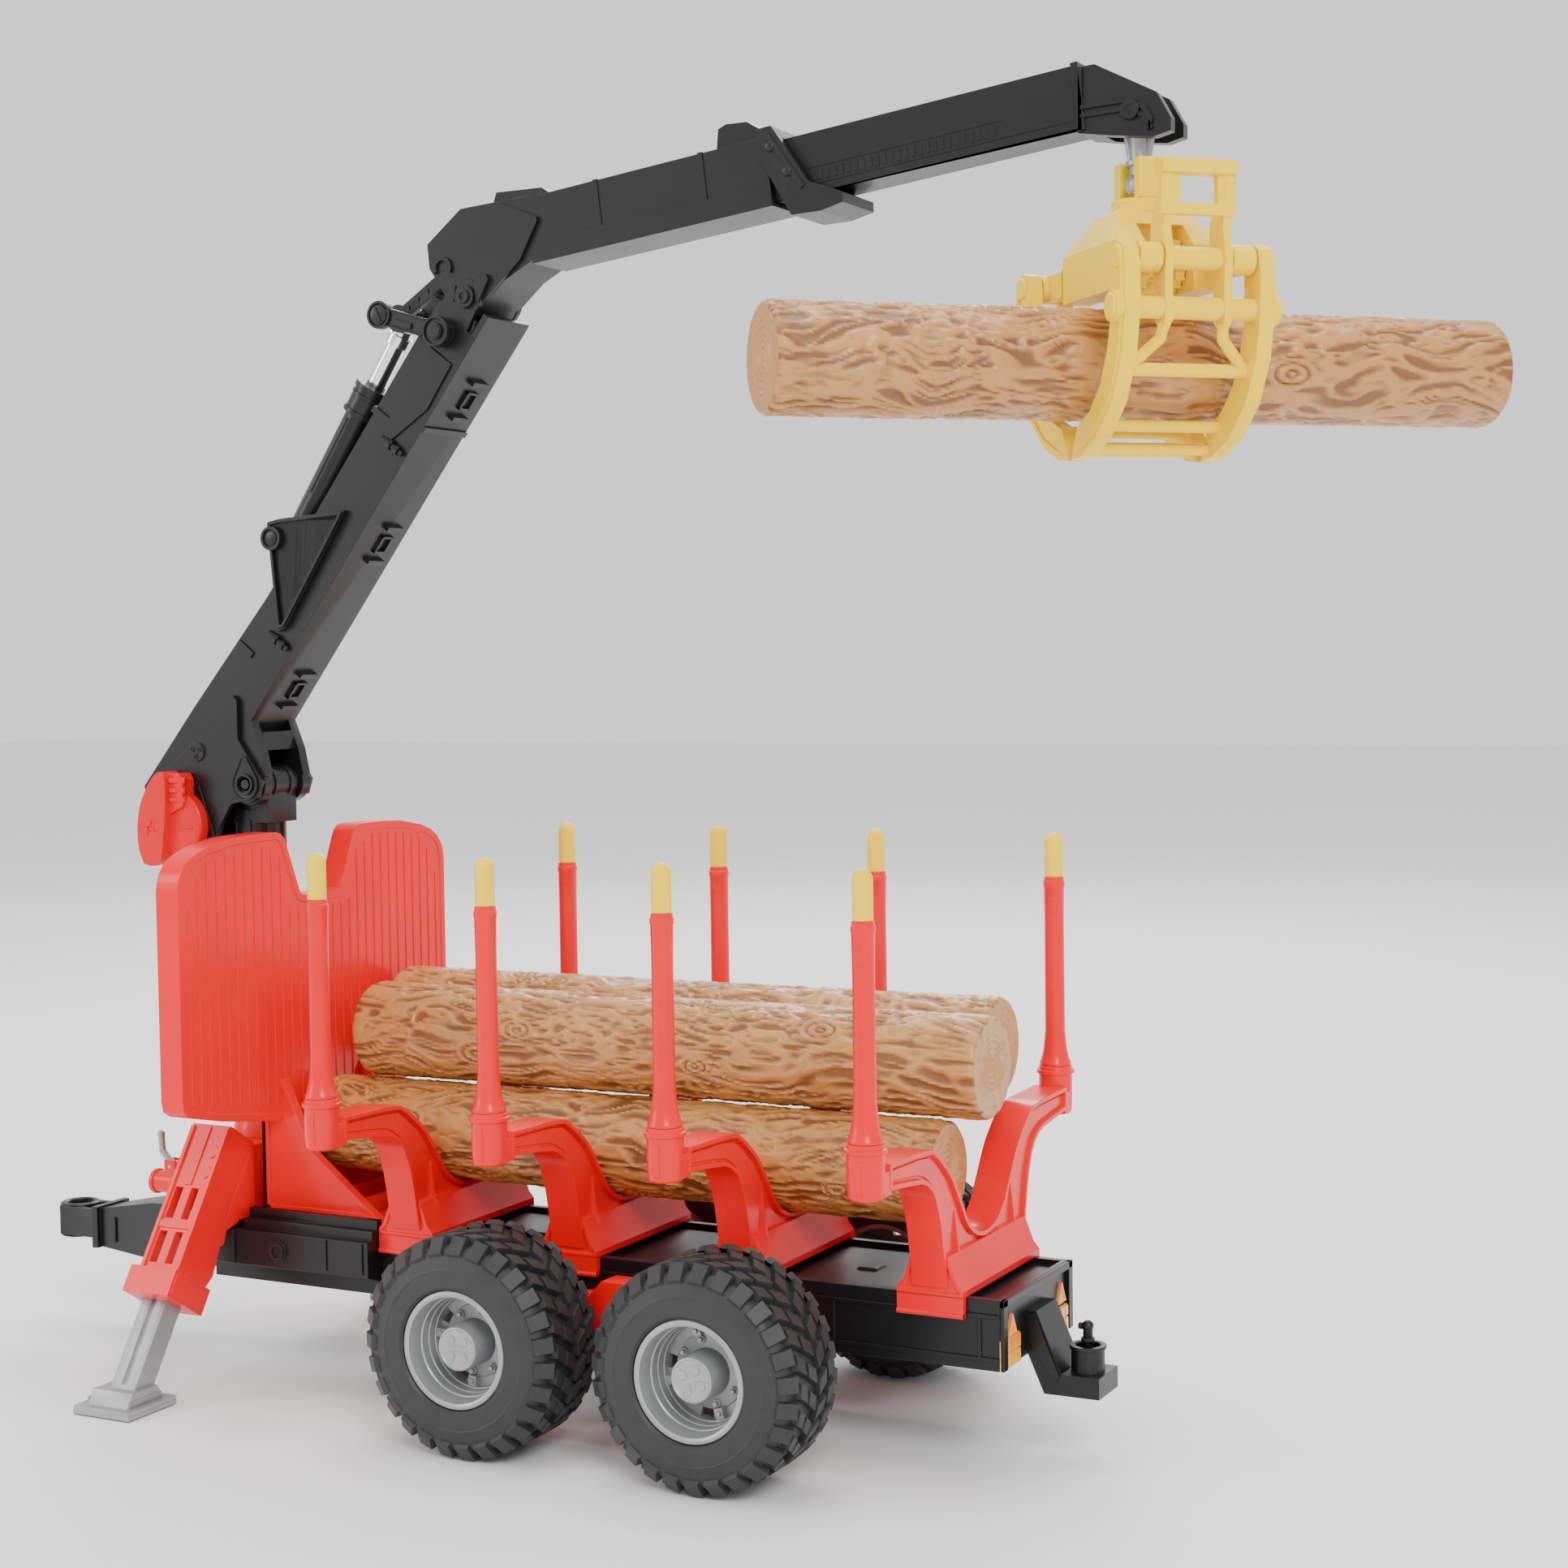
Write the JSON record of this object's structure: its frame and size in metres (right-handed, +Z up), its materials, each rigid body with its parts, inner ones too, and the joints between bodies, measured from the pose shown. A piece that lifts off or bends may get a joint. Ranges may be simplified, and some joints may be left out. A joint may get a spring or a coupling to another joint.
{
  "type": "toy forestry trailer with loading crane",
  "caption": "Toy timber trailer with tandem bogie wheels, staked bunks, fold-out supports and a jointed loading crane whose grab holds a log above three more logs.",
  "frame": {"origin": "centre of the footprint's bounding box, on the ground", "axes": "+X runs from the drawbar to the rear, +Y to the side away from the knob, +Z up"},
  "size_m": [0.559, 0.2002, 0.4504],
  "materials": {
    "red_plastic": "glossy red moulded plastic",
    "black_plastic": "satin black moulded plastic",
    "yellow_plastic": "glossy bright yellow moulded plastic",
    "silver_plastic": "satin silver-grey moulded plastic",
    "tyre_rubber": "soft matt dark rubber",
    "chrome": "bright plated rod",
    "log_brown": "caramel moulded plastic with bark relief",
    "reflector_orange": "orange, red and yellow reflectors",
    "knob_red": "glossy red moulded plastic"
  },
  "bodies": {
    "chassis": {"chassis_frame": "black_plastic", "drawbar": "black_plastic", "step_panels": "black_plastic", "rear_reflectors": "reflector_orange", "hitch_bracket": "black_plastic", "bunk_1": "red_plastic", "bunk_2": "red_plastic", "bunk_3": "red_plastic", "bunk_4": "red_plastic", "stakes": "red_plastic", "stake_caps": "yellow_plastic", "headboard": "red_plastic", "crane_pedestal": "red_plastic", "valve_cylinder": "red_plastic", "bogie_pivots": "red_plastic", "outrigger_housing_near": "red_plastic", "outrigger_housing_far": "red_plastic"},
    "hitch": {"hitch_pin": "black_plastic"},
    "valve": {"valve_lever": "silver_plastic"},
    "leg_near": {"outrigger_leg_near": "silver_plastic"},
    "leg_far": {"outrigger_leg_far": "silver_plastic"},
    "bogie_near": {"bogie_beam_near": "red_plastic", "wheel_pins_near": "silver_plastic"},
    "bogie_far": {"bogie_beam_far": "red_plastic", "wheel_pins_far": "silver_plastic"},
    "wheel_front_near": {"tyre_front_near": "tyre_rubber", "rim_front_near": "silver_plastic"},
    "wheel_rear_near": {"tyre_rear_near": "tyre_rubber", "rim_rear_near": "silver_plastic"},
    "wheel_front_far": {"tyre_front_far": "tyre_rubber", "rim_front_far": "silver_plastic"},
    "wheel_rear_far": {"tyre_rear_far": "tyre_rubber", "rim_rear_far": "silver_plastic"},
    "crane": {"crane_column": "black_plastic", "boom_hinge_pin": "black_plastic"},
    "boom": {"main_boom": "black_plastic", "boom_cheeks": "black_plastic", "cylinder_bracket": "black_plastic", "elbow_pin": "black_plastic"},
    "knob": {"lock_knob": "knob_red"},
    "stick": {"stick_beam": "black_plastic", "end_bracket": "black_plastic"},
    "barrel": {"knuckle_barrel": "black_plastic"},
    "rod": {"knuckle_rod": "chrome"},
    "arms": {"link_arms": "black_plastic"},
    "link": {"top_link": "black_plastic"},
    "tip": {"extension": "black_plastic", "tip_pin": "black_plastic"},
    "hook": {"hook_link": "silver_plastic"},
    "grab": {"grab_rotator": "yellow_plastic", "grab_housing": "yellow_plastic"},
    "claw_a": {"claw_front": "yellow_plastic", "claw_pins_front": "yellow_plastic", "claw_handle": "yellow_plastic"},
    "claw_b": {"claw_rear": "yellow_plastic", "claw_pins_rear": "yellow_plastic"},
    "log_held": {"held_log": "log_brown"},
    "log_low": {"low_log": "log_brown"},
    "log_near": {"near_log": "log_brown"},
    "log_far": {"far_log": "log_brown"}
  },
  "joints": [
    {"name": "hitch_pin_lift", "type": "slide", "parent": "chassis", "child": "hitch", "axis": [0, 0, 1], "range_m": [0, 0.02]},
    {"name": "valve_turn", "type": "hinge", "parent": "chassis", "child": "valve", "pos_m": [-0.19379, -0.033, 0.0755], "axis": [0, 1, 0], "range_deg": [-20, 20]},
    {"name": "leg_near_slide", "type": "slide", "parent": "chassis", "child": "leg_near", "axis": [0, -0.5432, -0.8396], "range_m": [-0.023, 0]},
    {"name": "leg_far_slide", "type": "slide", "parent": "chassis", "child": "leg_far", "axis": [0, 0.5432, -0.8396], "range_m": [-0.023, 0]},
    {"name": "bogie_near_rock", "type": "hinge", "parent": "chassis", "child": "bogie_near", "pos_m": [0.01521, -0.047, 0.046], "axis": [0, 1, 0], "range_deg": [-10, 10]},
    {"name": "bogie_far_rock", "type": "hinge", "parent": "chassis", "child": "bogie_far", "pos_m": [0.01521, 0.047, 0.046], "axis": [0, 1, 0], "range_deg": [-10, 10]},
    {"name": "wheel_front_near_spin", "type": "hinge", "parent": "bogie_near", "child": "wheel_front_near", "pos_m": [-0.02909, -0.0727, 0.0375], "axis": [0, 1, 0], "continuous": true},
    {"name": "wheel_front_far_spin", "type": "hinge", "parent": "bogie_far", "child": "wheel_front_far", "pos_m": [-0.02909, 0.0727, 0.0375], "axis": [0, 1, 0], "continuous": true},
    {"name": "wheel_rear_near_spin", "type": "hinge", "parent": "bogie_near", "child": "wheel_rear_near", "pos_m": [0.05951, -0.0727, 0.0375], "axis": [0, 1, 0], "continuous": true},
    {"name": "wheel_rear_far_spin", "type": "hinge", "parent": "bogie_far", "child": "wheel_rear_far", "pos_m": [0.05951, 0.0727, 0.0375], "axis": [0, 1, 0], "continuous": true},
    {"name": "crane_slew", "type": "hinge", "parent": "chassis", "child": "crane", "pos_m": [-0.17539, 0, 0.15], "axis": [0, 0, 1], "range_deg": [-90, 40]},
    {"name": "boom_lift", "type": "hinge", "parent": "crane", "child": "boom", "pos_m": [-0.16979, 0, 0.219], "axis": [0, -1, 0], "range_deg": [-20, 22]},
    {"name": "knob_turn", "type": "hinge", "parent": "boom", "child": "knob", "pos_m": [-0.20859, -0.02, 0.2027], "axis": [0, -1, 0], "range_deg": [0, 60]},
    {"name": "stick_fold", "type": "hinge", "parent": "boom", "child": "stick", "pos_m": [-0.06729, 0, 0.3936], "axis": [0, -1, 0], "range_deg": [-30, 12]},
    {"name": "barrel_swing", "type": "hinge", "parent": "boom", "child": "barrel", "pos_m": [-0.15399, 0, 0.3108], "axis": [0, -1, 0], "range_deg": [-0.67, 1.24]},
    {"name": "rod_slide", "type": "slide", "parent": "barrel", "child": "rod", "axis": [0.5564, 0, 0.8309], "range_m": [-0.00389, 0.00943]},
    {"name": "arms_swing", "type": "hinge", "parent": "boom", "child": "arms", "pos_m": [-0.07719, 0, 0.3817], "axis": [0, -1, 0], "range_deg": [-22.52, 9.7]},
    {"name": "link_swing", "type": "hinge", "parent": "stick", "child": "link", "pos_m": [-0.07729, 0, 0.4047], "axis": [0, -1, 0], "range_deg": [-9.06, 20.94]},
    {"name": "extension_slide", "type": "slide", "parent": "stick", "child": "tip", "axis": [0.9929, 0, 0.1191], "range_m": [-0.05, 0.02]},
    {"name": "hook_swing", "type": "hinge", "parent": "tip", "child": "hook", "pos_m": [0.17961, 0, 0.4335], "axis": [0, 1, 0], "range_deg": [-30, 30]},
    {"name": "grab_turn", "type": "hinge", "parent": "hook", "child": "grab", "pos_m": [0.17961, 0, 0.4112], "axis": [0, 0, 1], "continuous": true},
    {"name": "claw_open", "type": "hinge", "parent": "grab", "child": "claw_a", "pos_m": [0.20507, -0.02546, 0.383], "axis": [-0.7071, -0.7071, 0], "range_deg": [0, 30]},
    {"name": "claw_rear_open", "type": "hinge", "parent": "grab", "child": "claw_b", "pos_m": [0.15415, 0.02546, 0.383], "axis": [0.7071, 0.7071, 0], "range_deg": [-1, 31]},
    {"name": "log_held_slide", "type": "slide", "parent": "grab", "child": "log_held", "axis": [0.7071, 0.7071, 0], "range_m": [-0.06, 0.06]},
    {"name": "log_low_slide", "type": "slide", "parent": "chassis", "child": "log_low", "axis": [1, 0, 0], "range_m": [0, 0.12]},
    {"name": "log_near_lift", "type": "slide", "parent": "chassis", "child": "log_near", "axis": [0, 0, 1], "range_m": [0, 0.06]},
    {"name": "log_far_lift", "type": "slide", "parent": "chassis", "child": "log_far", "axis": [0, 0, 1], "range_m": [0, 0.06]}
  ],
  "couplings": [
    {"joint": "barrel_swing", "follows": "stick_fold", "ratio": -0.0319},
    {"joint": "rod_slide", "follows": "stick_fold", "m_per_rad": -0.017636},
    {"joint": "arms_swing", "follows": "stick_fold", "ratio": 0.7126},
    {"joint": "link_swing", "follows": "stick_fold", "ratio": -0.6598},
    {"joint": "claw_rear_open", "follows": "claw_open", "ratio": 1}
  ]
}
